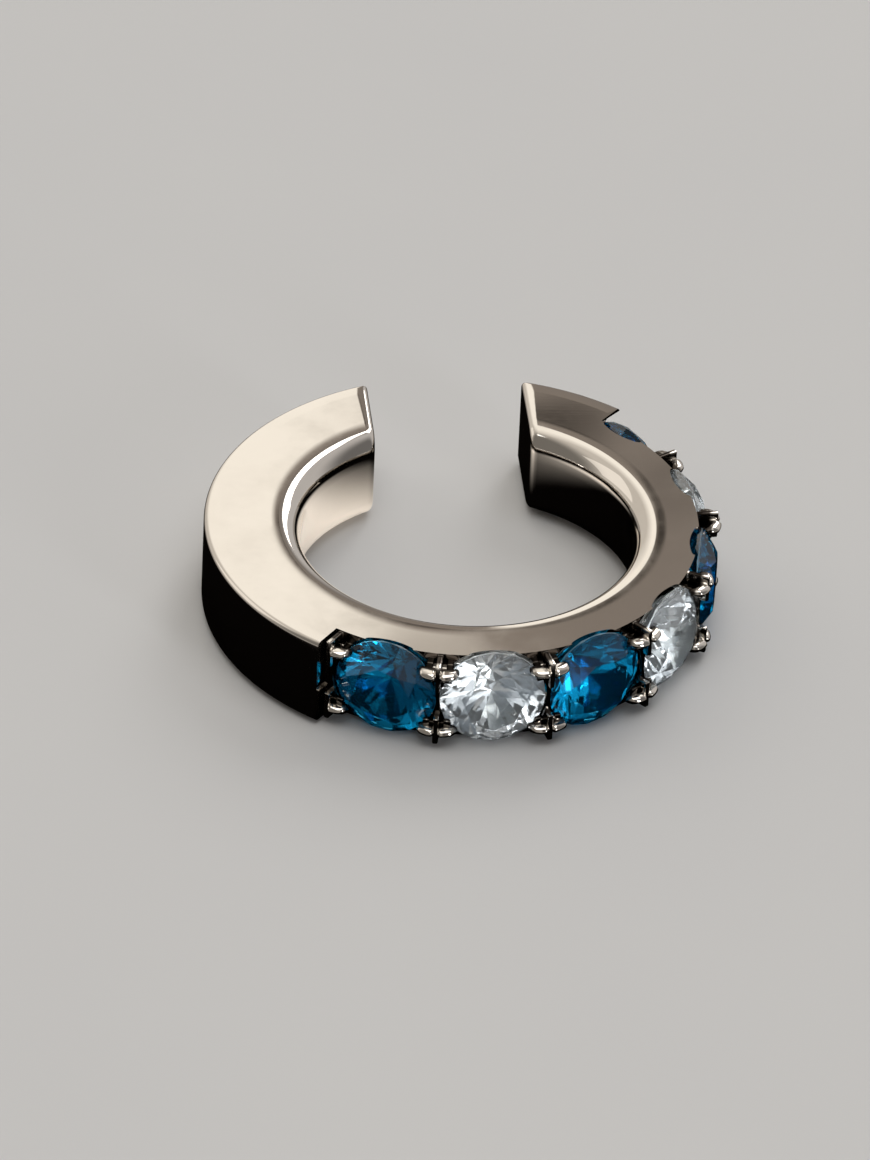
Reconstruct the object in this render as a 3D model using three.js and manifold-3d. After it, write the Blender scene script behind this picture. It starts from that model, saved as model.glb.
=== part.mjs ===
// Ear cuff: an open ring of polished white metal that lies on its side, with seven round brilliants
// in its outer wall, blue and clear by turns.
// Millimetres, +Z up. The ring's axis is vertical and its gap faces +Y.
import * as THREE from 'three';
import { mergeVertices } from 'three/addons/utils/BufferGeometryUtils.js';
import Module from 'manifold-3d';

// ---- driving dimensions ----
const outerRadius = 6.2;
const innerRadius = 3.95;
const bandHeight = 2.3;
const innerRound = 0.5; // comfort rounding of the two inner edges
const outerRound = 0.12;
const gapWidth = 3.7; // parallel-sided slot at the back

const stoneDiameter = 2.46;
const stoneAxisRadius = 5.5; // ring axis to the middle of a girdle
const seatDepth = 1.16; // from there in to the tip of a seat's cone
const seatShoulder = 0.14; // and to the top of the cone
const stonePitch = 26.1; // degrees from one stone to the next
const firstStone = -25; // degrees from the front (-Y) towards +X
const setClearance = 0.045; // room between a stone and the metal

const ledgeRadius = 5.45; // the flat faces end here along the row of stones
const clawHalfHeight = 0.13; // claws lie along the row, over the rims of the stones
const clawHalfDepth = 0.22;
const clawStart = 0.04; // from the middle of the junction
const clawEnd = 0.5;
const clawCentre = 5.8; // ring axis to the middle of a claw
const clawInset = 0.36; // claw centre below the flat face
const postWidth = 0.14; // thin post between the two claws of a pair
const postTip = 5.98;
const postHeight = 0.62; // from the flat face towards the middle of the band
const saddleTip = 5.74; // low block that a pair of claws grows from
const saddleWidth = 0.8;
const saddleHeight = 0.45;
const rootDepth = 0.25; // posts and saddles reach this far in under the ledge
const grooveAngle = 1.3; // degrees of open groove before the first post
const closeEnd = 6; // degrees by which the plain wall closes in on the last stone
const faceStep = 0.05; // posts and saddles stay this far below the flat faces

const ringSegments = 96;
const innerSteps = 6; // facets of an inner edge's rounding
const outerSteps = 2;
const cutterSegments = 36;

// One row per stone, in order along the ring; turn is the rotation about its own axis, in degrees.
const stoneRow = [
  { name: 'blue_stone_1', colour: 'blue', turn: 8 },
  { name: 'clear_stone_1', colour: 'clear', turn: 0 },
  { name: 'blue_stone_2', colour: 'blue', turn: 17 },
  { name: 'clear_stone_2', colour: 'clear', turn: 5 },
  { name: 'blue_stone_3', colour: 'blue', turn: 12 },
  { name: 'clear_stone_3', colour: 'clear', turn: 20 },
  { name: 'blue_stone_4', colour: 'blue', turn: 3 },
];

// Facet tiers of the round brilliant, on a girdle radius of 1: slope from the girdle plane in degrees,
// how many facets, the first one's azimuth, and the point that each facet passes through, as its
// distance from the axis and its height. The last row of the crown is the table.
const girdleHalf = 0.028;
const crownSlope = 34.5;
const pavilionSlope = 41;
const tableRadius = 0.565;
const tableHeight = girdleHalf + (1 - tableRadius) * Math.tan(THREE.MathUtils.degToRad(crownSlope));
const halfStep = 11.25;
const chord = Math.cos(THREE.MathUtils.degToRad(halfStep));
const starEdge = tableRadius * Math.cos(THREE.MathUtils.degToRad(2 * halfStep));
const facetTiers = [
  { slope: crownSlope, count: 8, first: 0, reach: 1, height: girdleHalf },
  { slope: 41, count: 16, first: halfStep, reach: chord, height: girdleHalf },
  { slope: 21, count: 8, first: 2 * halfStep, reach: starEdge, height: tableHeight },
  { slope: 0, count: 1, first: 0, reach: 0, height: tableHeight },
  { slope: 180 - pavilionSlope, count: 8, first: 0, reach: 1, height: -girdleHalf },
  { slope: 180 - 42.4, count: 16, first: halfStep, reach: chord, height: -girdleHalf },
];

const wasm = await Module();
wasm.setup();

// ---- solids from three.js geometry, and back ----
function toSolid(geometry, matrix = new THREE.Matrix4()) {
  const bare = geometry.clone().applyMatrix4(matrix);
  bare.deleteAttribute('normal');
  bare.deleteAttribute('uv');
  const merged = mergeVertices(bare, 1e-5);
  return new wasm.Manifold(
    new wasm.Mesh({
      numProp: 3,
      vertProperties: new Float32Array(merged.attributes.position.array),
      triVerts: new Uint32Array(merged.index.array),
    }),
  );
}

function toGeometry(solid) {
  const mesh = solid.getMesh();
  const geometry = new THREE.BufferGeometry();
  geometry.setAttribute('position', new THREE.BufferAttribute(new Float32Array(mesh.vertProperties), 3));
  geometry.setIndex(new THREE.BufferAttribute(new Uint32Array(mesh.triVerts), 1));
  geometry.computeVertexNormals();
  return geometry;
}

// ---- frames ----
// At a place in the row: x back along the row, y straight out from the ring's axis, z up.
function rowFrame(degrees) {
  const angle = THREE.MathUtils.degToRad(degrees);
  const out = new THREE.Vector3(Math.sin(angle), -Math.cos(angle), 0);
  const back = new THREE.Vector3(out.y, -out.x, 0);
  return new THREE.Matrix4().makeBasis(back, out, new THREE.Vector3(0, 0, 1));
}

const stoneAngle = (index) => firstStone + index * stonePitch;

// ---- band blank ----
function cornerPoints(x, y, radius, quarter, steps) {
  const start = quarter * 0.5 * Math.PI;
  const curve = new THREE.EllipseCurve(x, y, radius, radius, start, start + 0.5 * Math.PI);
  return curve.getPoints(steps);
}

function bandProfile() {
  const half = bandHeight / 2;
  const inner = innerRadius + innerRound;
  const outer = outerRadius - outerRound;
  const points = [
    ...cornerPoints(inner, -half + innerRound, innerRound, 2, innerSteps),
    ...cornerPoints(outer, -half + outerRound, outerRound, 3, outerSteps),
    ...cornerPoints(outer, half - outerRound, outerRound, 0, outerSteps),
    ...cornerPoints(inner, half - innerRound, innerRound, 1, innerSteps),
  ];
  points.push(points[0].clone());
  return points;
}

function bandBlank() {
  const ring = new THREE.LatheGeometry(bandProfile(), ringSegments);
  const upright = new THREE.Matrix4().makeRotationX(Math.PI / 2);
  const slot = new THREE.BoxGeometry(gapWidth, 2 * outerRadius, 2 * bandHeight);
  slot.translate(0, outerRadius, 0);
  return toSolid(ring, upright).subtract(toSolid(slot));
}

// ---- stone row in the band ----
// Everything outside the ledge is filed away, from a narrow groove before the first claws to the
// last stone.
function rowClearing() {
  const last = stoneRow.length - 1;
  const start = THREE.MathUtils.degToRad(stoneAngle(0) - stonePitch / 2 - grooveAngle - 90);
  const end = THREE.MathUtils.degToRad(stoneAngle(last) + stonePitch / 2 - closeEnd - 90);
  const shape = new THREE.Shape();
  shape.absarc(0, 0, outerRadius + 1, start, end);
  shape.absarc(0, 0, ledgeRadius, end, start, true);
  const geometry = new THREE.ExtrudeGeometry(shape, {
    depth: 2 * bandHeight,
    bevelEnabled: false,
    curveSegments: 40,
  });
  geometry.translate(0, 0, -bandHeight);
  return toSolid(geometry);
}

// A seat: a cone for the pavilion and a straight bore above it. Its sides break through both faces
// of the band, which leaves the round scallops.
function seatGeometry() {
  const radius = stoneDiameter / 2 + setClearance;
  const points = [
    [0, stoneAxisRadius - seatDepth],
    [radius, stoneAxisRadius - seatShoulder],
    [radius, outerRadius + 1],
    [0, outerRadius + 1],
  ];
  return new THREE.LatheGeometry(points.map(([x, y]) => new THREE.Vector2(x, y)), cutterSegments);
}

// The room that a set stone needs: its outline with the clearance added.
function roomGeometry() {
  const radius = stoneDiameter / 2;
  const points = [
    [0, -seatDepth],
    [radius + setClearance, -girdleHalf * radius - setClearance / 2],
    [radius + setClearance, girdleHalf * radius + setClearance / 2],
    [tableRadius * radius + setClearance, tableHeight * radius + setClearance],
    [0, tableHeight * radius + setClearance],
  ];
  const geometry = new THREE.LatheGeometry(points.map(([x, y]) => new THREE.Vector2(x, y)), cutterSegments);
  return geometry.translate(0, stoneAxisRadius, 0);
}

// At each junction, near each face, a thin post and two round-tipped claws grow from a low saddle.
function junctionSolids(degrees, sides) {
  const frame = rowFrame(degrees);
  const solids = [];
  const root = ledgeRadius - rootDepth;
  const clawLength = clawEnd - clawStart;
  for (const face of [-1, 1]) {
    for (const side of sides) {
      const claw = new THREE.CapsuleGeometry(clawHalfHeight, clawLength - 2 * clawHalfHeight, 3, 10);
      claw.rotateZ(Math.PI / 2);
      claw.scale(1, clawHalfDepth / clawHalfHeight, 1);
      claw.translate(side * (clawStart + clawLength / 2), clawCentre, face * (bandHeight / 2 - clawInset));
      solids.push(toSolid(claw, frame));
    }
    const blocks = [
      [postWidth, postTip, postHeight],
      [saddleWidth, saddleTip, saddleHeight],
    ];
    for (const [width, tip, tall] of blocks) {
      const block = new THREE.BoxGeometry(width, tip - root, tall);
      block.translate(0, (tip + root) / 2, face * (bandHeight / 2 - faceStep - tall / 2));
      solids.push(toSolid(block, frame));
    }
  }
  return solids;
}

function bandSolid() {
  const last = stoneRow.length - 1;
  let band = bandBlank().subtract(rowClearing());
  stoneRow.forEach((_, index) => {
    band = band.subtract(toSolid(seatGeometry(), rowFrame(stoneAngle(index))));
  });
  for (let junction = 0; junction <= last + 1; junction += 1) {
    const sides = [];
    if (junction > 0) sides.push(1);
    if (junction <= last) sides.push(-1);
    for (const solid of junctionSolids(stoneAngle(junction) - stonePitch / 2, sides)) {
      band = band.add(solid);
    }
  }
  stoneRow.forEach((_, index) => {
    band = band.subtract(toSolid(roomGeometry(), rowFrame(stoneAngle(index))));
  });
  return band;
}

// ---- round brilliant, table up ----
function brilliantGeometry() {
  const blank = new THREE.CylinderGeometry(1, 1, 3, 32);
  blank.rotateX(Math.PI / 2);
  let stone = toSolid(blank);
  for (const { slope, count, first, reach, height } of facetTiers) {
    for (let index = 0; index < count; index += 1) {
      const azimuth = THREE.MathUtils.degToRad(first + (index * 360) / count);
      const lap = new THREE.BoxGeometry(6, 6, 2);
      lap.translate(0, 0, 1);
      lap.rotateY(THREE.MathUtils.degToRad(slope));
      lap.translate(reach, 0, height);
      lap.rotateZ(azimuth);
      stone = stone.subtract(toSolid(lap));
    }
  }
  const radius = stoneDiameter / 2;
  return toGeometry(stone).scale(radius, radius, radius);
}

// ---- materials ----
const materials = {
  metal: new THREE.MeshStandardMaterial({ color: 0xe4ded4, roughness: 0.12, metalness: 1 }),
  blue: new THREE.MeshStandardMaterial({ color: 0x0a4f86, roughness: 0.03, metalness: 0 }),
  clear: new THREE.MeshStandardMaterial({ color: 0xe8edf2, roughness: 0.03, metalness: 0 }),
};

// ---- assembly ----
const cuff = new THREE.Group();

const band = new THREE.Mesh(toGeometry(bandSolid()), materials.metal);
band.name = 'band';
cuff.add(band);

const brilliant = brilliantGeometry();
stoneRow.forEach(({ name, colour, turn }, index) => {
  const stone = new THREE.Mesh(brilliant, materials[colour]);
  stone.name = name;
  stone.rotation.set(Math.PI / 2, 0, 0);
  stone.rotateZ(THREE.MathUtils.degToRad(turn));
  stone.position.set(0, -stoneAxisRadius, 0);
  const holder = new THREE.Group();
  holder.rotation.z = THREE.MathUtils.degToRad(stoneAngle(index));
  holder.add(stone);
  cuff.add(holder);
});

// The origin is the middle of the footprint, on the surface that the cuff lies on.
const box = new THREE.Box3().setFromObject(cuff, true);
const centre = box.getCenter(new THREE.Vector3());
cuff.position.set(-centre.x, -centre.y, -box.min.z);

export default cuff;
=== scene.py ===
import math
import bmesh
import bpy
from mathutils import Matrix, Vector


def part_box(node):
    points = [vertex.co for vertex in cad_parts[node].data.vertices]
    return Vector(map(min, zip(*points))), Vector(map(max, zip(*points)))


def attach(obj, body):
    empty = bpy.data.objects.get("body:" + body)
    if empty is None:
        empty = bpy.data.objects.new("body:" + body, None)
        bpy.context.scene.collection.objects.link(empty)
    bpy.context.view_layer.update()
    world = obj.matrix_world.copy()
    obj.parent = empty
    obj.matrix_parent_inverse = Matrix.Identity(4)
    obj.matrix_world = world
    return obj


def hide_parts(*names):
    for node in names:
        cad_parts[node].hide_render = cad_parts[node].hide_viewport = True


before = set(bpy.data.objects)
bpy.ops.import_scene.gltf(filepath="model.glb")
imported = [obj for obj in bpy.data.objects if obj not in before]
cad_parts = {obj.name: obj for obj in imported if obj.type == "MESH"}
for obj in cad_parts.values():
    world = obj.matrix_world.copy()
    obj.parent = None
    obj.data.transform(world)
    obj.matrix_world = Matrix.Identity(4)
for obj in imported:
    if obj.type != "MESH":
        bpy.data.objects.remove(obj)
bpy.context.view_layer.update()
print("frame loaded, nodes:", len(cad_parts))

millimetre = 0.001

# the ring's own frame, in millimetres: axis at 0, 0 and the middle of the band's height at 0
ringSize = {
    "outerRadius": 6.2,
    "innerRadius": 3.95,
    "gapHalf": 1.85,
    "innerRound": 0.5,
    "outerRound": 0.12,
    "endRound": 0.13,
    "endStep": 0.0095,    # the first step at each end, as a part of the whole length
    "fallAway": 0.03,
    "steps": 220,
}
bandLow, bandHigh = (Vector(corner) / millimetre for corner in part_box("band"))
ringAxis = Vector((
    bandLow.x + ringSize["outerRadius"],
    bandHigh.y - math.sqrt(ringSize["outerRadius"] ** 2 - ringSize["gapHalf"] ** 2),
    (bandLow.z + bandHigh.z) / 2,
))
bandHeight = bandHigh.z - bandLow.z
toWorld = Matrix.Scale(millimetre, 4) @ Matrix.Translation(ringAxis)

stoneSize = {
    "diameter": 2.46,
    "axisRadius": 5.5,     # ring axis to the middle of a girdle
    "pitch": 26.1,         # degrees from stone to stone
    "first": -25.0,        # degrees from the front towards +X
    "clearance": 0.02,
    "girdleSides": 96,
}
stoneRow = [
    ("blue_stone_1", "blue", 8),
    ("clear_stone_1", "clear", 0),
    ("blue_stone_2", "blue", 17),
    ("clear_stone_2", "clear", 5),
    ("blue_stone_3", "blue", 12),
    ("clear_stone_3", "clear", 20),
    ("blue_stone_4", "blue", 3),
]


def stoneAngle(place):
    return math.radians(stoneSize["first"] + place * stoneSize["pitch"])


def rowMatrix(angle):
    # x along the row, y out from the ring's axis, z down, so that it stays a plain turn
    out = Vector((math.sin(angle), -math.cos(angle), 0))
    along = Vector((math.cos(angle), math.sin(angle), 0))
    rows = Matrix((along, out, along.cross(out))).transposed()
    return rows.to_4x4()


# ---------- helpers for meshes ----------

def newObject(bm, name, smooth=True):
    mesh = bpy.data.meshes.new(name)
    for face in bm.faces:
        face.smooth = smooth
    bm.to_mesh(mesh)
    bm.free()
    made = bpy.data.objects.new(name, mesh)
    bpy.context.scene.collection.objects.link(made)
    return made


def fillEnds(bm):
    rim = [edge for edge in bm.edges if edge.is_boundary]
    made = bmesh.ops.holes_fill(bm, edges=rim, sides=0)["faces"]
    bmesh.ops.recalc_face_normals(bm, faces=bm.faces[:])
    return made


def carve(target, cutter, operation, useSelf=False):
    tool = target.modifiers.new("carve", "BOOLEAN")
    tool.operation = operation
    tool.solver = "EXACT"
    tool.use_self = useSelf
    tool.object = cutter
    graph = bpy.context.evaluated_depsgraph_get()
    result = bpy.data.meshes.new_from_object(target.evaluated_get(graph))
    target.modifiers.clear()
    old = target.data
    target.data = result
    bpy.data.meshes.remove(old)
    bpy.data.objects.remove(cutter)


def joined(objects, name):
    bm = bmesh.new()
    for part in objects:
        bm.from_mesh(part.data)
        bpy.data.objects.remove(part)
    return newObject(bm, name)


# ---------- the band ----------

def profileLoop(bm, low, high, height):
    # one quad stood up in the XZ plane
    bmesh.ops.create_grid(bm, x_segments=1, y_segments=1, size=0.5)
    bmesh.ops.scale(bm, vec=(high - low, height, 1), verts=bm.verts)
    bmesh.ops.rotate(bm, cent=(0, 0, 0), matrix=Matrix.Rotation(math.pi / 2, 3, "X"), verts=bm.verts)
    bmesh.ops.translate(bm, vec=((low + high) / 2, 0, 0), verts=bm.verts)


def keepOutline(bm):
    bmesh.ops.delete(bm, geom=bm.faces[:], context="FACES_ONLY")


def makeBand():
    size = ringSize
    bm = bmesh.new()
    profileLoop(bm, size["innerRadius"], size["outerRadius"], bandHeight)
    middle = (size["innerRadius"] + size["outerRadius"]) / 2
    for inner, radius, parts in ((True, size["innerRound"], 12), (False, size["outerRound"], 5)):
        corners = [v for v in bm.verts if (v.co.x < middle) == inner and abs(v.co.z) > bandHeight / 2 - 0.001]
        bmesh.ops.bevel(bm, geom=corners, affect="VERTICES", offset=radius, offset_type="OFFSET",
                        segments=parts, profile=0.5, material=-1)
    keepOutline(bm)
    for vert in bm.verts:    # the flat faces fall away a little towards the outer wall
        vert.co.z *= 1 - size["fallAway"] * (vert.co.x - size["innerRadius"]) / (size["outerRadius"] - size["innerRadius"])
    longEdges = [edge for edge in bm.edges if edge.calc_length() > 0.8]
    bmesh.ops.subdivide_edges(bm, edges=longEdges, cuts=5)
    total = 5.5
    bmesh.ops.spin(bm, geom=bm.verts[:] + bm.edges[:], cent=(0, 0, 0), axis=(0, 0, 1), angle=total,
                   steps=size["steps"], use_merge=False, use_duplicate=False)
    # each ring of points is turned so that both ends of the band are flat and parallel
    for vert in bm.verts:
        radius = math.hypot(vert.co.x, vert.co.y)
        turn = math.atan2(vert.co.y, vert.co.x)
        turn = turn + 2 * math.pi if turn < -0.01 else turn
        start = math.pi / 2 + math.asin(size["gapHalf"] / radius)
        end = math.pi * 2.5 - math.asin(size["gapHalf"] / radius)
        step = round(turn / total * size["steps"])
        inside = size["endStep"] + (1 - 2 * size["endStep"]) * (step - 1) / (size["steps"] - 2)
        along = {0: 0, size["steps"]: 1}.get(step, inside)
        turn = start + (end - start) * along
        vert.co.x = radius * math.cos(turn)
        vert.co.y = radius * math.sin(turn)
    ends = fillEnds(bm)
    rim = list({edge for face in ends for edge in face.edges})
    bmesh.ops.bevel(bm, geom=rim, affect="EDGES", offset=size["endRound"], offset_type="OFFSET",
                    segments=4, profile=0.5, material=-1)
    return newObject(bm, "band_metal")


settingSize = {
    "ledgeRadius": 5.45,   # the flat faces end here
    "bedRadius": 5.78,     # the bed between two seats, at half height
    "bedHalf": 0.6,
    "wallFoot": 0.74,      # half height where the upright wall meets the bed
    "postWidth": 0.13,
    "postTip": 5.98,
    "postHeight": 0.7,
    "blockInset": 0.07,
    "fingerStart": 0.02,
    "fingerEnd": 0.48,
    "fingerHalfHeight": 0.12,
    "fingerHalfDepth": 0.2,
    "fingerCentre": 5.86,
    "fingerInset": 0.36,
    "droop": 0.16,         # how far a finger's tip bends in over its stone
    "closeEnd": 6.0,       # degrees by which the plain wall closes in on the last stone
}


def makeClearing():
    size = settingSize
    start = stoneAngle(0) - math.radians(stoneSize["pitch"] / 2 + 1.3)
    end = stoneAngle(6) + math.radians(stoneSize["pitch"] / 2 - size["closeEnd"])
    far = ringSize["outerRadius"] + 1
    tall = bandHeight
    bm = bmesh.new()
    ledge, bed = size["ledgeRadius"], size["bedRadius"]
    outline = [(ledge, tall), (ledge, size["wallFoot"]), (bed, size["bedHalf"]), (bed, -size["bedHalf"]),
               (ledge, -size["wallFoot"]), (ledge, -tall), (far, -tall), (far, tall)]
    verts = [bm.verts.new((radius, 0, z)) for radius, z in outline]
    for first, second in zip(verts, verts[1:] + verts[:1]):
        bm.edges.new((first, second))
    bmesh.ops.rotate(bm, cent=(0, 0, 0), matrix=Matrix.Rotation(start - math.pi / 2, 3, "Z"), verts=bm.verts)
    bmesh.ops.spin(bm, geom=bm.verts[:] + bm.edges[:], cent=(0, 0, 0), axis=(0, 0, 1), angle=end - start,
                   steps=90, use_merge=False, use_duplicate=False)
    fillEnds(bm)
    return newObject(bm, "clearing")


def roundSolid(outline, segments, angle, name):
    # outline: distance from the stone's axis, and distance from the ring's axis
    bm = bmesh.new()
    verts = [bm.verts.new((radius, out, 0)) for radius, out in outline]
    for first, second in zip(verts, verts[1:]):
        bm.edges.new((first, second))
    bmesh.ops.spin(bm, geom=bm.verts[:] + bm.edges[:], cent=(0, 0, 0), axis=(0, 1, 0), angle=2 * math.pi,
                   steps=segments, use_merge=True, use_duplicate=False)
    bmesh.ops.remove_doubles(bm, verts=bm.verts, dist=0.0005)
    bmesh.ops.transform(bm, matrix=rowMatrix(angle), verts=bm.verts)
    bmesh.ops.recalc_face_normals(bm, faces=bm.faces[:])
    return newObject(bm, name)


def makeSeat(angle):
    radius = stoneSize["diameter"] / 2 + 0.04
    middle = stoneSize["axisRadius"]
    outline = [(0, middle - 1.16), (radius - 0.03, middle - 0.165), (radius, middle - 0.12),
               (radius, middle + 1.6), (0, middle + 1.6)]
    return roundSolid(outline, 96, angle, "seat")


def makeRoom(angle):
    radius = stoneSize["diameter"] / 2
    middle = stoneSize["axisRadius"]
    gap = stoneSize["clearance"]
    outline = [(0, middle - 1.15), (radius + gap, middle - 0.05), (radius + gap, middle + 0.05),
               (radius * 0.565, middle + 0.43 + gap), (0, middle + 0.43 + gap)]
    return roundSolid(outline, 96, angle, "room")


def makeFinger(side, face):
    size = settingSize
    length = size["fingerEnd"] - size["fingerStart"]
    half = size["fingerHalfHeight"]
    bm = bmesh.new()
    bmesh.ops.create_uvsphere(bm, u_segments=20, v_segments=14, radius=half)
    bmesh.ops.rotate(bm, cent=(0, 0, 0), matrix=Matrix.Rotation(math.pi / 2, 3, "Y"), verts=bm.verts)
    for vert in bm.verts:
        vert.co.x += math.copysign(length / 2 - half, vert.co.x) if abs(vert.co.x) > 0.001 else 0
    middleEdges = [edge for edge in bm.edges if edge.calc_length() > 0.08]
    bmesh.ops.subdivide_edges(bm, edges=middleEdges, cuts=3)
    bmesh.ops.scale(bm, vec=(1, size["fingerHalfDepth"] / half, 1), verts=bm.verts)
    for vert in bm.verts:
        reach = (vert.co.x + length / 2) / length
        vert.co.y -= size["droop"] * reach ** 2
        vert.co.z *= 1 - 0.12 * reach
        vert.co.x = side * (vert.co.x + length / 2 + size["fingerStart"])
    inward = face * (bandHeight / 2 - size["fingerInset"])
    bmesh.ops.translate(bm, vec=(0, size["fingerCentre"], inward), verts=bm.verts)
    return bm


def makeBlock(face, width, tip, height, aside, round, inset):
    # a block with rounded edges that grows out of the bed, close under a flat face
    size = settingSize
    root = size["ledgeRadius"] - 0.2
    bm = bmesh.new()
    bmesh.ops.create_cube(bm, size=1)
    bmesh.ops.scale(bm, vec=(width, tip - root, height), verts=bm.verts)
    bmesh.ops.bevel(bm, geom=bm.edges[:], affect="EDGES", offset=round, offset_type="OFFSET",
                    segments=3, profile=0.5, material=-1)
    inward = face * (bandHeight / 2 - height / 2 - inset)
    bmesh.ops.translate(bm, vec=(aside, (tip + root) / 2, inward), verts=bm.verts)
    return bm


def makePost(face):
    return makeBlock(face, settingSize["postWidth"], settingSize["postTip"], settingSize["postHeight"], 0, 0.035,
                     settingSize["blockInset"])


def makeRoot(side, face):
    return makeBlock(face, 0.17, settingSize["fingerCentre"] - 0.06, 0.32, side * 0.24, 0.04, 0.31)


def placed(bm, angle, name):
    bmesh.ops.transform(bm, matrix=rowMatrix(angle), verts=bm.verts)
    bmesh.ops.recalc_face_normals(bm, faces=bm.faces[:])
    return newObject(bm, name)


def finishBand(band):
    carve(band, makeClearing(), "DIFFERENCE")
    print("row cleared, faces:", len(band.data.polygons))
    places = range(len(stoneRow))
    for start in (0, 1):
        seats = [makeSeat(stoneAngle(place)) for place in places if place % 2 == start]
        carve(band, joined(seats, "seats"), "DIFFERENCE")
    print("seats cut, faces:", len(band.data.polygons))
    last = len(stoneRow)
    pitch = math.radians(stoneSize["pitch"])
    posts, fingers = [], {1: [], -1: []}
    for junction in range(last + 1):
        angle = stoneAngle(0) + (junction - 0.5) * pitch
        for face in (-1, 1):
            posts.append(placed(makePost(face), angle, "post"))
            for side in (-1, 1):
                if 0 <= junction - (side < 0) < last:
                    posts.append(placed(makeRoot(side, face), angle, "root"))
            if junction > 0:
                fingers[-1].append(placed(makeFinger(-1, face), angle, "finger"))
            if junction < last:
                fingers[1].append(placed(makeFinger(1, face), angle, "finger"))
    carve(band, joined(posts, "posts"), "UNION")
    for side in (1, -1):
        carve(band, joined(fingers[side], "fingers"), "UNION")
    print("claws added, faces:", len(band.data.polygons))
    for start in (0, 1):
        rooms = [makeRoom(stoneAngle(place)) for place in places if place % 2 == start]
        carve(band, joined(rooms, "rooms"), "DIFFERENCE")
    print("claws trimmed, faces:", len(band.data.polygons))


def settleMesh(piece, sharpAngle):
    bm = bmesh.new()
    bm.from_mesh(piece.data)
    bmesh.ops.remove_doubles(bm, verts=bm.verts, dist=0.0008)
    bmesh.ops.dissolve_degenerate(bm, dist=0.0005, edges=bm.edges)
    for face in bm.faces:
        face.smooth = True
    for edge in bm.edges:
        edge.smooth = len(edge.link_faces) == 2 and edge.calc_face_angle(0) < math.radians(sharpAngle)
    bmesh.ops.transform(bm, matrix=toWorld, verts=bm.verts)
    bm.to_mesh(piece.data)
    bm.free()


band = makeBand()
finishBand(band)
settleMesh(band, 28)
weights = band.modifiers.new("faceNormals", "WEIGHTED_NORMAL")
weights.mode = "FACE_AREA"
weights.keep_sharp = True
weights.weight = 50
print("band finished, faces:", len(band.data.polygons))


# ---------- stones ----------

cut = {
    "girdleHalf": 0.028,
    "crownSlope": 34.5,
    "pavilionSlope": 41.0,
    "tableRadius": 0.565,
}


def facetTiers():
    tableHeight = cut["girdleHalf"] + (1 - cut["tableRadius"]) * math.tan(math.radians(cut["crownSlope"]))
    chord = math.cos(math.radians(11.25))
    starEdge = cut["tableRadius"] * math.cos(math.radians(22.5))
    # slope, how many, first azimuth, distance from the axis, height
    return [
        (cut["crownSlope"], 8, 0, 1, cut["girdleHalf"]),
        (41, 16, 11.25, chord, cut["girdleHalf"]),
        (21, 8, 22.5, starEdge, tableHeight),
        (0, 1, 0, 0, tableHeight),
        (180 - cut["pavilionSlope"], 8, 0, 1, -cut["girdleHalf"]),
        (180 - 42.4, 16, 11.25, chord, -cut["girdleHalf"]),
    ]


def makeBrilliant():
    # a round blank ground flat facet by facet, table up
    bm = bmesh.new()
    bmesh.ops.create_cone(bm, cap_ends=True, segments=stoneSize["girdleSides"], radius1=1, radius2=1, depth=3)
    for slope, count, first, reach, height in facetTiers():
        for index in range(count):
            azimuth = math.radians(first + index * 360 / count)
            tilt = math.radians(slope)
            normal = Vector((math.sin(tilt) * math.cos(azimuth), math.sin(tilt) * math.sin(azimuth), math.cos(tilt)))
            point = Vector((reach * math.cos(azimuth), reach * math.sin(azimuth), height))
            geometry = bm.verts[:] + bm.edges[:] + bm.faces[:]
            bmesh.ops.bisect_plane(bm, geom=geometry, dist=1e-6, plane_co=point, plane_no=normal, clear_outer=True)
            bmesh.ops.holes_fill(bm, edges=[edge for edge in bm.edges if edge.is_boundary], sides=0)
    bmesh.ops.remove_doubles(bm, verts=bm.verts, dist=1e-4)
    bmesh.ops.recalc_face_normals(bm, faces=bm.faces[:])
    for face in bm.faces:
        face.material_index = 1 if abs(face.normal.z) < 0.02 else 0
    mesh = bpy.data.meshes.new("brilliant")
    bm.to_mesh(mesh)
    bm.free()
    return mesh


def placeStone(brilliant, node, place, turn):
    stone = bpy.data.objects.new(node + "_cut", brilliant.copy())
    bpy.context.scene.collection.objects.link(stone)
    scale = Matrix.Scale(stoneSize["diameter"] / 2, 4)
    outward = Matrix.Rotation(math.pi / 2, 4, "X") @ Matrix.Rotation(math.radians(turn), 4, "Z")
    out = Matrix.Translation((0, -stoneSize["axisRadius"], 0))
    around = Matrix.Rotation(stoneAngle(place), 4, "Z")
    stone.data.transform(toWorld @ around @ out @ outward @ scale)
    return stone


# ---------- materials ----------

def newMaterial(name):
    made = bpy.data.materials.new(name)
    made.use_nodes = True
    nodes = made.node_tree.nodes
    return made, nodes, made.node_tree.links, nodes["Principled BSDF"]


def addNode(nodes, kind, **values):
    node = nodes.new(kind)
    for key, value in values.items():
        if hasattr(node, key):
            setattr(node, key, value)
        else:
            node.inputs[key.replace("_", " ")].default_value = value
    return node


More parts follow.
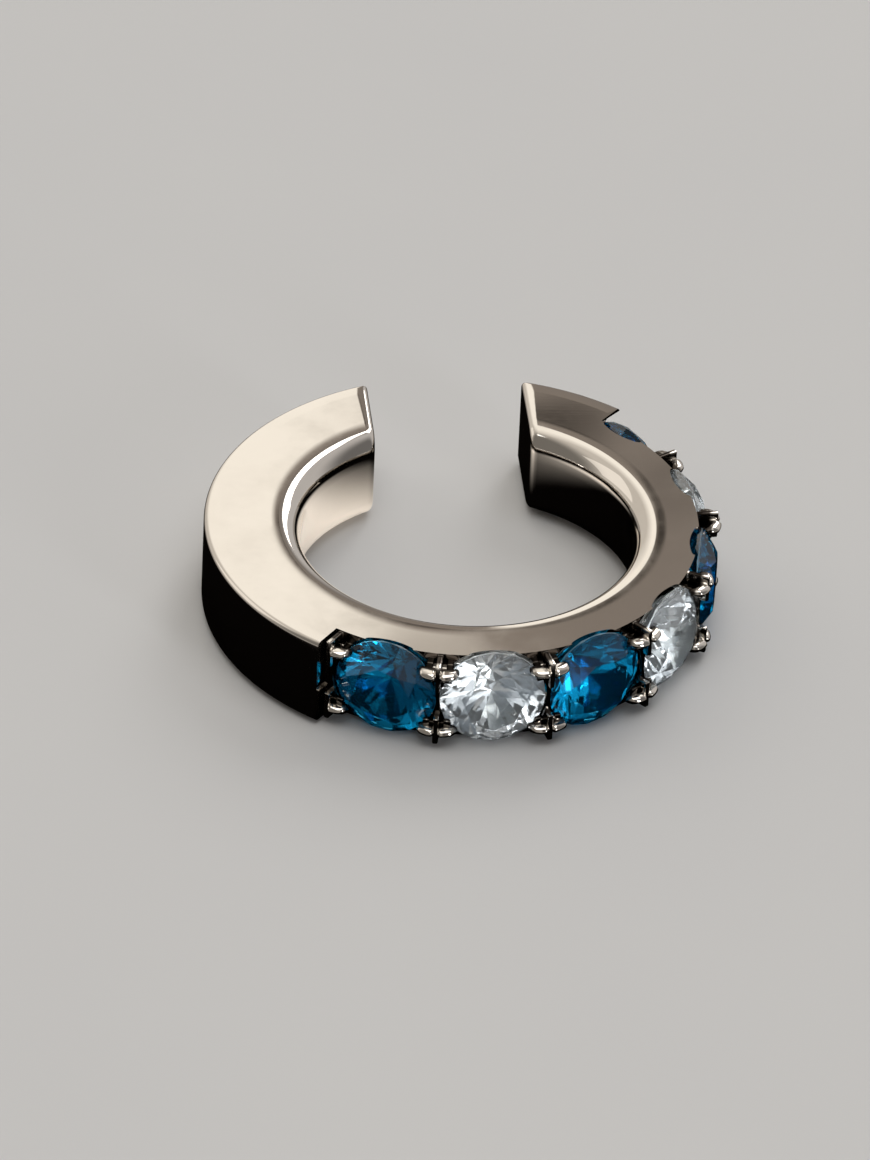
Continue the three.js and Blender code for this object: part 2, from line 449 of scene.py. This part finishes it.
def makeHandling():
    # faint smears and hairlines left by handling: a mask, and a height for bump
    group = bpy.data.node_groups.new("handlingMarks", "ShaderNodeTree")
    face = group.interface
    face.new_socket(name="Vector", in_out="INPUT", socket_type="NodeSocketVector")
    face.new_socket(name="Smear Scale", in_out="INPUT", socket_type="NodeSocketFloat")
    face.new_socket(name="Hairline Scale", in_out="INPUT", socket_type="NodeSocketFloat")
    face.new_socket(name="Smears", in_out="OUTPUT", socket_type="NodeSocketFloat")
    face.new_socket(name="Hairlines", in_out="OUTPUT", socket_type="NodeSocketFloat")
    nodes, links = group.nodes, group.links
    into = nodes.new("NodeGroupInput")
    out = nodes.new("NodeGroupOutput")
    smear = addNode(nodes, "ShaderNodeTexNoise", Detail=5.0, Roughness=0.62)
    links.new(into.outputs["Vector"], smear.inputs["Vector"])
    links.new(into.outputs["Smear Scale"], smear.inputs["Scale"])
    smearRange = addNode(nodes, "ShaderNodeMapRange")
    smearRange.inputs["From Min"].default_value = 0.42
    smearRange.inputs["From Max"].default_value = 0.72
    links.new(smear.outputs["Fac"], smearRange.inputs["Value"])
    links.new(smearRange.outputs["Result"], out.inputs["Smears"])
    stretch = addNode(nodes, "ShaderNodeMapping")
    stretch.inputs["Rotation"].default_value = (0.3, 0.2, 0.9)
    stretch.inputs["Scale"].default_value = (1.0, 22.0, 9.0)
    links.new(into.outputs["Vector"], stretch.inputs["Vector"])
    hair = addNode(nodes, "ShaderNodeTexNoise", Detail=2.0)
    links.new(stretch.outputs["Vector"], hair.inputs["Vector"])
    links.new(into.outputs["Hairline Scale"], hair.inputs["Scale"])
    links.new(hair.outputs["Fac"], out.inputs["Hairlines"])
    return group


handling = makeHandling()

metalLook = {
    "colour": (0.80, 0.765, 0.72, 1),
    "darkColour": (0.66, 0.62, 0.57, 1),
    "roughLow": 0.035,
    "roughHigh": 0.11,
    "bump": 0.12,
    # painted shade colour for the hollows between the stones
    "paintedShadeColour": (0.05, 0.042, 0.036, 1),
}


def makeMetal():
    look = metalLook
    made, nodes, links, shader = newMaterial("polishedMetal")
    shader.inputs["Metallic"].default_value = 1.0
    place = nodes.new("ShaderNodeTexCoord")
    marks = nodes.new("ShaderNodeGroup")
    marks.node_tree = handling
    marks.inputs["Smear Scale"].default_value = 420
    marks.inputs["Hairline Scale"].default_value = 900
    links.new(place.outputs["Object"], marks.inputs["Vector"])
    tone = nodes.new("ShaderNodeMixRGB")
    tone.inputs[1].default_value = look["colour"]
    tone.inputs[2].default_value = look["darkColour"]
    toneAmount = addNode(nodes, "ShaderNodeMath", operation="MULTIPLY")
    toneAmount.inputs[1].default_value = 0.3
    links.new(marks.outputs["Smears"], toneAmount.inputs[0])
    links.new(toneAmount.outputs[0], tone.inputs[0])
    # painted shade: the metal is darkened deep between the stones, in the hollows where shade falls
    spot = addNode(nodes, "ShaderNodeVectorMath", operation="SUBTRACT")
    spot.inputs[1].default_value = ringAxis * millimetre
    links.new(place.outputs["Object"], spot.inputs[0])
    flat = addNode(nodes, "ShaderNodeVectorMath", operation="MULTIPLY")
    flat.inputs[1].default_value = (1, 1, 0)
    links.new(spot.outputs[0], flat.inputs[0])
    radius = addNode(nodes, "ShaderNodeVectorMath", operation="LENGTH")
    links.new(flat.outputs[0], radius.inputs[0])
    height = addNode(nodes, "ShaderNodeVectorMath", operation="DOT_PRODUCT")
    height.inputs[1].default_value = (0, 0, 1)
    links.new(spot.outputs[0], height.inputs[0])
    rise = addNode(nodes, "ShaderNodeMath", operation="ABSOLUTE")
    links.new(height.outputs["Value"], rise.inputs[0])
    middle = stoneAngle((len(stoneRow) - 1) / 2)
    ahead = addNode(nodes, "ShaderNodeVectorMath", operation="DOT_PRODUCT")
    ahead.inputs[1].default_value = (math.sin(middle), -math.cos(middle), 0)
    links.new(flat.outputs[0], ahead.inputs[0])
    limits = [
        (radius, 5.455, 5.475),
        (radius, 5.86, 5.76),
        (rise, 1.115, 1.095),
        (ahead, -0.3, -0.2),
    ]
    paintedShade = None
    for source, outside, inside in limits:
        limit = addNode(nodes, "ShaderNodeMapRange")
        limit.inputs["From Min"].default_value = outside * millimetre
        limit.inputs["From Max"].default_value = inside * millimetre
        links.new(source.outputs["Value"], limit.inputs["Value"])
        if paintedShade:
            both = addNode(nodes, "ShaderNodeMath", operation="MULTIPLY")
            links.new(paintedShade.outputs[0], both.inputs[0])
            links.new(limit.outputs[0], both.inputs[1])
            paintedShade = both
        else:
            paintedShade = limit
    # the painted shade darkens the base colour inside the mask
    shadedBase = nodes.new("ShaderNodeMixRGB")
    shadedBase.inputs[2].default_value = look["paintedShadeColour"]
    links.new(paintedShade.outputs[0], shadedBase.inputs[0])
    links.new(tone.outputs[0], shadedBase.inputs[1])
    links.new(shadedBase.outputs[0], shader.inputs["Base Color"])
    rough = addNode(nodes, "ShaderNodeMapRange")
    rough.inputs["To Min"].default_value = look["roughLow"]
    rough.inputs["To Max"].default_value = look["roughHigh"]
    links.new(marks.outputs["Smears"], rough.inputs["Value"])
    links.new(rough.outputs["Result"], shader.inputs["Roughness"])
    # slow waves from hand polishing
    wave = addNode(nodes, "ShaderNodeTexNoise", Scale=140.0, Detail=1.0)
    links.new(place.outputs["Object"], wave.inputs["Vector"])
    waveBump = addNode(nodes, "ShaderNodeBump", Strength=look["bump"], Distance=0.0006)
    links.new(wave.outputs["Fac"], waveBump.inputs["Height"])
    hairBump = addNode(nodes, "ShaderNodeBump", Strength=0.008, Distance=0.00001)
    links.new(marks.outputs["Hairlines"], hairBump.inputs["Height"])
    links.new(waveBump.outputs["Normal"], hairBump.inputs["Normal"])
    links.new(hairBump.outputs["Normal"], shader.inputs["Normal"])
    return made


stoneLook = {
    "blue": {"colour": (0.006, 0.26, 0.46, 1), "deep": (0.0, 0.13, 0.3, 1), "ior": 1.76, "clarity": 0.93},
    "clear": {"colour": (0.95, 0.985, 1.0, 1), "deep": (0.86, 0.93, 0.98, 1), "ior": 2.0, "clarity": 0.88},
}


def makeStoneLook(kind):
    look = stoneLook[kind]
    made, nodes, links, shader = newMaterial(kind + "Facets")
    shader.inputs["Transmission Weight"].default_value = look["clarity"]
    shader.inputs["IOR"].default_value = look["ior"]
    place = nodes.new("ShaderNodeTexCoord")
    marks = nodes.new("ShaderNodeGroup")
    marks.node_tree = handling
    marks.inputs["Smear Scale"].default_value = 700
    marks.inputs["Hairline Scale"].default_value = 1500
    links.new(place.outputs["Object"], marks.inputs["Vector"])
    zone = addNode(nodes, "ShaderNodeTexNoise", Scale=260.0, Detail=2.0)
    links.new(place.outputs["Object"], zone.inputs["Vector"])
    tone = nodes.new("ShaderNodeMixRGB")
    tone.inputs[1].default_value = look["colour"]
    tone.inputs[2].default_value = look["deep"]
    links.new(zone.outputs["Fac"], tone.inputs[0])
    links.new(tone.outputs[0], shader.inputs["Base Color"])
    rough = addNode(nodes, "ShaderNodeMapRange")
    rough.inputs["To Min"].default_value = 0.0
    rough.inputs["To Max"].default_value = 0.03
    links.new(marks.outputs["Smears"], rough.inputs["Value"])
    links.new(rough.outputs["Result"], shader.inputs["Roughness"])
    hairBump = addNode(nodes, "ShaderNodeBump", Strength=0.02, Distance=0.00002)
    links.new(marks.outputs["Hairlines"], hairBump.inputs["Height"])
    links.new(hairBump.outputs["Normal"], shader.inputs["Normal"])
    return made


def makeGirdleLook(kind):
    # the rim between crown and pavilion is ground, not polished
    look = stoneLook[kind]
    made, nodes, links, shader = newMaterial(kind + "Girdle")
    shader.inputs["Transmission Weight"].default_value = look["clarity"]
    shader.inputs["IOR"].default_value = look["ior"]
    place = nodes.new("ShaderNodeTexCoord")
    grain = addNode(nodes, "ShaderNodeTexNoise", Scale=9000.0, Detail=3.0)
    links.new(place.outputs["Object"], grain.inputs["Vector"])
    tone = nodes.new("ShaderNodeMixRGB")
    tone.inputs[1].default_value = look["colour"]
    tone.inputs[2].default_value = (0.55, 0.62, 0.68, 1)
    links.new(grain.outputs["Fac"], tone.inputs[0])
    links.new(tone.outputs[0], shader.inputs["Base Color"])
    rough = addNode(nodes, "ShaderNodeMapRange")
    rough.inputs["To Min"].default_value = 0.3
    rough.inputs["To Max"].default_value = 0.6
    links.new(grain.outputs["Fac"], rough.inputs["Value"])
    links.new(rough.outputs["Result"], shader.inputs["Roughness"])
    return made


metal = makeMetal()
band.data.materials.clear()
band.data.materials.append(metal)
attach(band, "root")
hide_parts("band")

looks = {kind: (makeStoneLook(kind), makeGirdleLook(kind)) for kind in stoneLook}
brilliant = makeBrilliant()
for place, (node, kind, turn) in enumerate(stoneRow):
    stone = placeStone(brilliant, node, place, turn)
    for look in looks[kind]:
        stone.data.materials.append(look)
    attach(stone, "root")
    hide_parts(node)
print("stones set, faces each:", len(brilliant.polygons))


# ---------- floor, light and camera ----------

studio = {
    "floorColour": (0.66, 0.67, 0.68, 1),
    # painted shade on the table as mirrors see it
    "floorMirrored": (0.0025, 0.002, 0.0018, 1),
    "floorOpen": (0.4, 0.38, 0.36, 1),
    "shadeEnd": 9.5,       # millimetres from the ring's axis
    "openStart": 17.0,
    # a painted pool of light that only mirrors see, glowing though it is no lamp
    "paintedPoolLight": (1.0, 0.94, 0.87, 1),
    "poolCentre": (-2.6, 3.1, -1.15),
    "poolRadius": 3.6,
    "paintedPoolGlow": 0.4,
    "worldFill": 1.3,
    "throughLeft": (0.12, 0.14, 0.16, 1),
    "throughRight": (2.3, 2.33, 2.35, 1),
    "flagDirection": (0.1111, 0.8247, 0.5547),
    "flagReach": 0.023,
    "roomBehind": 0.3,
}


def makeFloor():
    bm = bmesh.new()
    bmesh.ops.create_grid(bm, x_segments=1, y_segments=1, size=0.6)
    floor = newObject(bm, "floor")
    made, nodes, links, shader = newMaterial("paleFloor")
    place = nodes.new("ShaderNodeTexCoord")
    grain = addNode(nodes, "ShaderNodeTexNoise", Scale=60.0, Detail=3.0)
    links.new(place.outputs["Object"], grain.inputs["Vector"])
    tone = nodes.new("ShaderNodeMixRGB")
    tone.inputs[1].default_value = studio["floorColour"]
    tone.inputs[2].default_value = (0.62, 0.63, 0.65, 1)
    links.new(grain.outputs["Fac"], tone.inputs[0])
    # painted reflection: mirror rays see a darker table, a painted shade over the front of it
    path = nodes.new("ShaderNodeLightPath")
    # painted pool of light near the inside left, seen only by mirror rays
    pool = nodes.new("ShaderNodeVectorMath")
    pool.operation = "DISTANCE"
    pool.inputs[1].default_value = (ringAxis + Vector(studio["poolCentre"])) * millimetre
    links.new(place.outputs["Object"], pool.inputs[0])
    reach = addNode(nodes, "ShaderNodeMapRange", interpolation_type="SMOOTHSTEP")
    reach.inputs["From Min"].default_value = studio["poolRadius"] * millimetre
    reach.inputs["From Max"].default_value = 0.0
    links.new(pool.outputs["Value"], reach.inputs["Value"])
    # further out the painted reflection of the table turns lighter, open to the room
    centre = nodes.new("ShaderNodeVectorMath")
    centre.operation = "DISTANCE"
    centre.inputs[1].default_value = ringAxis * millimetre
    links.new(place.outputs["Object"], centre.inputs[0])
    away = addNode(nodes, "ShaderNodeMapRange", interpolation_type="SMOOTHSTEP")
    away.inputs["From Min"].default_value = studio["shadeEnd"] * millimetre
    away.inputs["From Max"].default_value = studio["openStart"] * millimetre
    links.new(centre.outputs["Value"], away.inputs["Value"])
    around = nodes.new("ShaderNodeMixRGB")
    around.inputs[1].default_value = studio["floorMirrored"]
    around.inputs[2].default_value = studio["floorOpen"]
    links.new(away.outputs["Result"], around.inputs[0])
    mirrored = nodes.new("ShaderNodeMixRGB")
    links.new(around.outputs[0], mirrored.inputs[1])
    mirrored.inputs[2].default_value = studio["paintedPoolLight"]
    links.new(reach.outputs["Result"], mirrored.inputs[0])
    seen = nodes.new("ShaderNodeMixRGB")
    links.new(mirrored.outputs[0], seen.inputs[2])
    mirrorOnly = addNode(nodes, "ShaderNodeMath", operation="SUBTRACT", use_clamp=True)
    links.new(path.outputs["Is Glossy Ray"], mirrorOnly.inputs[0])
    links.new(path.outputs["Is Transmission Ray"], mirrorOnly.inputs[1])
    links.new(mirrorOnly.outputs[0], seen.inputs[0])
    links.new(tone.outputs[0], seen.inputs[1])
    links.new(seen.outputs[0], shader.inputs["Base Color"])
    # the painted pool glows for mirror rays, though it is no lamp
    glow = addNode(nodes, "ShaderNodeMath", operation="MULTIPLY")
    links.new(reach.outputs["Result"], glow.inputs[0])
    links.new(mirrorOnly.outputs[0], glow.inputs[1])
    glowLevel = addNode(nodes, "ShaderNodeMath", operation="MULTIPLY")
    glowLevel.inputs[1].default_value = studio["paintedPoolGlow"]
    links.new(glow.outputs[0], glowLevel.inputs[0])
    shader.inputs["Emission Color"].default_value = studio["paintedPoolLight"]
    links.new(glowLevel.outputs[0], shader.inputs["Emission Strength"])
    shader.inputs["Roughness"].default_value = 0.7
    shader.inputs["Specular IOR Level"].default_value = 0.0
    floor.data.materials.append(made)


def makeWorld():
    world = bpy.data.worlds.new("studio")
    bpy.context.scene.world = world
    world.use_nodes = True
    nodes, links = world.node_tree.nodes, world.node_tree.links
    back = nodes["Background"]
    place = nodes.new("ShaderNodeTexCoord")
    split = nodes.new("ShaderNodeSeparateXYZ")
    links.new(place.outputs["Generated"], split.inputs[0])
    ramp = nodes.new("ShaderNodeValToRGB")
    # from the far left to the far right
    stops = [(0.0, (0.5, 0.46, 0.41, 1)), (0.4, (0.87, 0.82, 0.74, 1)), (0.615, (0.87, 0.82, 0.74, 1)),
             (0.637, (0.2, 0.17, 0.145, 1)), (0.8, (0.17, 0.15, 0.135, 1)), (1.0, (0.42, 0.4, 0.385, 1))]
    while len(ramp.color_ramp.elements) < len(stops):
        ramp.color_ramp.elements.new(0.5)
    for element, (position, colour) in zip(ramp.color_ramp.elements, stops):
        element.position = position
        element.color = colour
    side = addNode(nodes, "ShaderNodeMapRange")
    side.inputs["From Min"].default_value = -0.35
    side.inputs["From Max"].default_value = 0.35
    links.new(split.outputs["X"], side.inputs["Value"])
    links.new(side.outputs["Result"], ramp.inputs[0])
    # a small dark flag that the flat face mirrors near the right end
    flag = nodes.new("ShaderNodeVectorMath")
    flag.operation = "DISTANCE"
    flag.inputs[1].default_value = studio["flagDirection"]
    links.new(place.outputs["Generated"], flag.inputs[0])
    shade = addNode(nodes, "ShaderNodeMapRange", interpolation_type="SMOOTHSTEP")
    shade.inputs["From Min"].default_value = studio["flagReach"] * 0.3
    shade.inputs["From Max"].default_value = studio["flagReach"]
    shade.inputs["To Min"].default_value = 0.2
    links.new(flag.outputs["Value"], shade.inputs["Value"])
    flagged = addNode(nodes, "ShaderNodeVectorMath", operation="SCALE")
    # the side behind the camera is a dark room
    depth = addNode(nodes, "ShaderNodeMapRange", interpolation_type="SMOOTHSTEP")
    depth.inputs["From Min"].default_value = -0.2
    depth.inputs["From Max"].default_value = 0.3
    depth.inputs["To Min"].default_value = studio["roomBehind"]
    links.new(split.outputs["Y"], depth.inputs["Value"])
    deep = addNode(nodes, "ShaderNodeVectorMath", operation="SCALE")
    links.new(ramp.outputs[0], deep.inputs[0])
    links.new(depth.outputs["Result"], deep.inputs["Scale"])
    links.new(deep.outputs[0], flagged.inputs[0])
    links.new(shade.outputs["Result"], flagged.inputs["Scale"])
    # light that passes through the stones finds a brighter right side
    path = nodes.new("ShaderNodeLightPath")
    reach = addNode(nodes, "ShaderNodeMapRange", interpolation_type="SMOOTHSTEP")
    reach.inputs["From Min"].default_value = -0.3
    reach.inputs["From Max"].default_value = 0.8
    links.new(split.outputs["X"], reach.inputs["Value"])
    through = nodes.new("ShaderNodeMixRGB")
    through.inputs[1].default_value = studio["throughLeft"]
    through.inputs[2].default_value = studio["throughRight"]
    links.new(reach.outputs["Result"], through.inputs[0])
    seen = nodes.new("ShaderNodeMixRGB")
    links.new(path.outputs["Is Transmission Ray"], seen.inputs[0])
    links.new(flagged.outputs[0], seen.inputs[1])
    links.new(through.outputs[0], seen.inputs[2])
    links.new(seen.outputs[0], back.inputs["Color"])
    back.inputs["Strength"].default_value = studio["worldFill"]


def addLight(name, azimuth, elevation, distance, size, power, colour):
    data = bpy.data.lights.new(name, "AREA")
    data.shape = "RECTANGLE"
    data.size, data.size_y = size
    data.energy = power
    data.color = colour
    light = bpy.data.objects.new(name, data)
    bpy.context.scene.collection.objects.link(light)
    a, e = math.radians(azimuth), math.radians(elevation)
    direction = Vector((math.sin(a) * math.cos(e), -math.cos(a) * math.cos(e), math.sin(e)))
    light.location = direction * distance
    light.rotation_euler = direction.to_track_quat("Z", "Y").to_euler()
    return light


makeFloor()
makeWorld()
lights = [
    # name, azimuth from the front, elevation, distance, size, power, colour
    ("softTop", 20, 78, 0.5, (0.45, 0.35), 0.85, (1.0, 0.98, 0.95)),
    ("backRight", 150, 38, 0.5, (0.16, 0.3), 0.5, (1.0, 0.97, 0.93)),
    ("frontCard", 35, 12, 0.45, (0.06, 0.2), 0.25, (1.0, 1.0, 1.0)),
    ("leftCard", -115, 30, 0.5, (0.3, 0.3), 0.1, (1.0, 0.95, 0.88)),
]
for row in lights:
    addLight(*row)

cameraSet = {
    "azimuth": -6.8,
    "elevation": 34.87,
    "roll": -2.61,
    "distance": 283.4,       # millimetres
    "offset": (0.678, -0.493),   # where the ring's foot lies from the middle of the view
    "lens": 372.4,
    "sensor": 36.0,
}


def makeCamera():
    view = cameraSet
    a, e, r = (math.radians(view[key]) for key in ("azimuth", "elevation", "roll"))
    right = Vector((math.cos(a), math.sin(a), 0))
    ahead = Vector((-math.sin(a) * math.cos(e), math.cos(a) * math.cos(e), -math.sin(e)))
    up = right.cross(ahead)
    right, up = right * math.cos(r) - up * math.sin(r), right * math.sin(r) + up * math.cos(r)
    foot = ringAxis - Vector((0, 0, bandHeight / 2))
    spot = foot - right * view["offset"][0] - up * view["offset"][1] - ahead * view["distance"]
    data = bpy.data.cameras.new("camera")
    data.sensor_fit = "VERTICAL"
    data.sensor_height = view["sensor"]
    data.lens = view["lens"]
    data.clip_start = 0.01
    camera = bpy.data.objects.new("camera", data)
    bpy.context.scene.collection.objects.link(camera)
    turn = Matrix((right, up, -ahead)).transposed().to_4x4()
    camera.matrix_world = Matrix.Translation(spot * millimetre) @ turn
    bpy.context.scene.camera = camera


makeCamera()
bpy.context.scene.view_settings.view_transform = "Standard"
print("studio ready")
